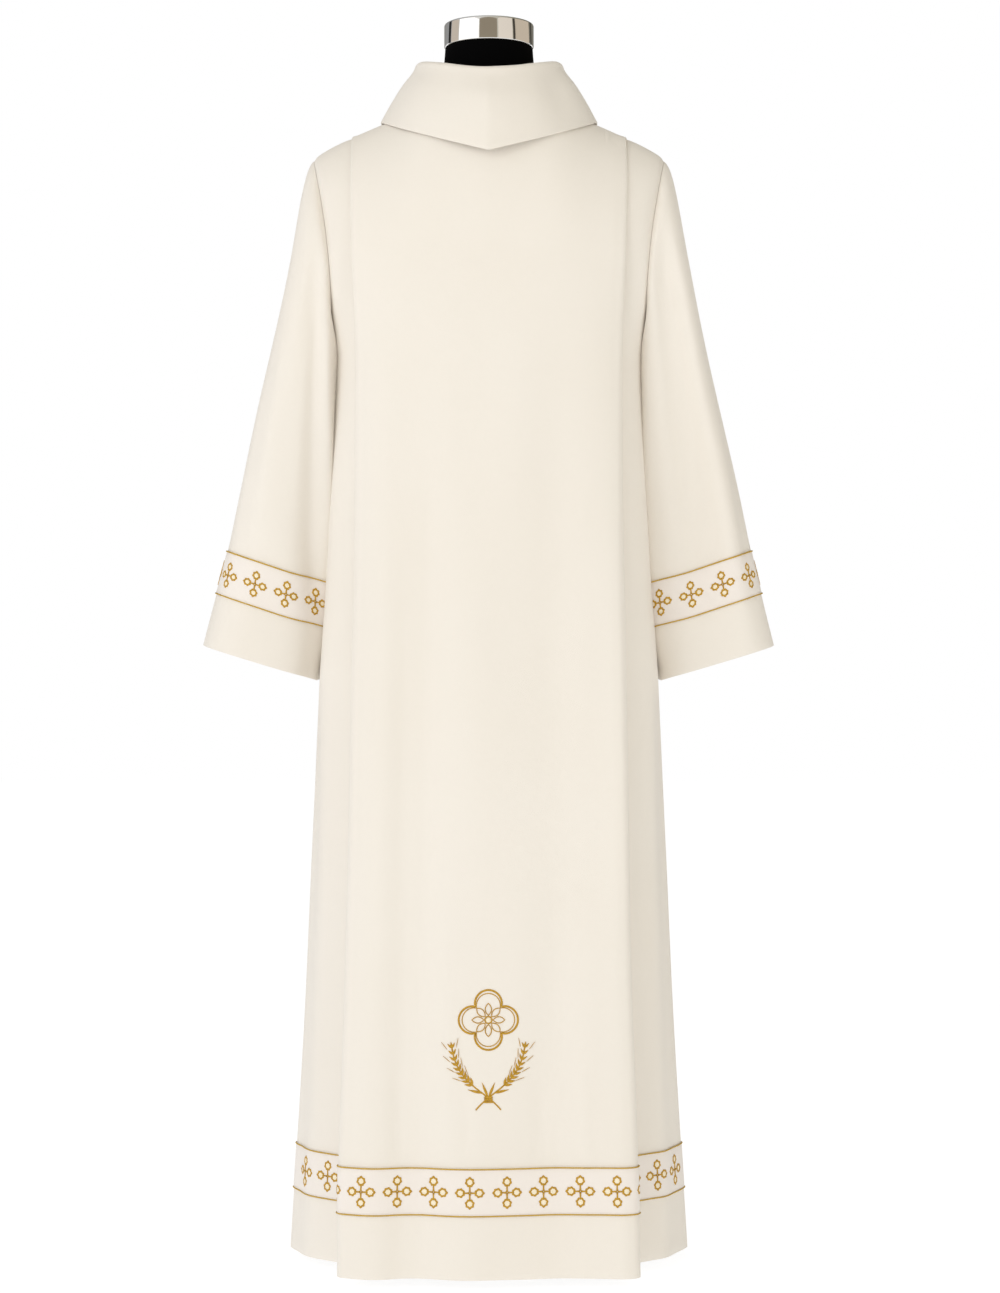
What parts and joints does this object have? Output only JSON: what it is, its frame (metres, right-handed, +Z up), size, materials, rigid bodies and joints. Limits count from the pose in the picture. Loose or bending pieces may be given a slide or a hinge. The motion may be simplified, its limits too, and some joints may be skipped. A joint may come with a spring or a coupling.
{
  "type": "alb on a dress form",
  "caption": "Long white alb with pleated front and back, wide sleeves, a pointed turned-down collar and banded hem and cuffs, worn by a limbless dress form on a stand.",
  "frame": {"origin": "on the floor, under the middle of the stand's base", "axes": "+X to the right of someone who looks at the alb's back, +Y from its back to its front, +Z up"},
  "size_m": [0.729, 0.3674, 1.5633],
  "materials": {
    "alb_cloth": "white twill, soft sheen",
    "collar_cloth": "white twill, soft sheen",
    "band_cloth": "white inlay with gold embroidery",
    "form_cloth": "black jersey",
    "form_chrome": "polished",
    "form_steel": "satin",
    "base_steel": "satin off-white paint"
  },
  "bodies": {
    "root": {"back": "alb_cloth", "front": "alb_cloth", "sleeve_left": "alb_cloth", "sleeve_right": "alb_cloth", "collar": "collar_cloth", "hem_band_back": "band_cloth", "hem_band_front": "band_cloth", "cuff_band_left": "band_cloth", "cuff_band_right": "band_cloth", "form_torso": "form_cloth", "form_cap": "form_chrome", "form_pole": "form_steel", "form_base": "base_steel"}
  },
  "joints": []
}
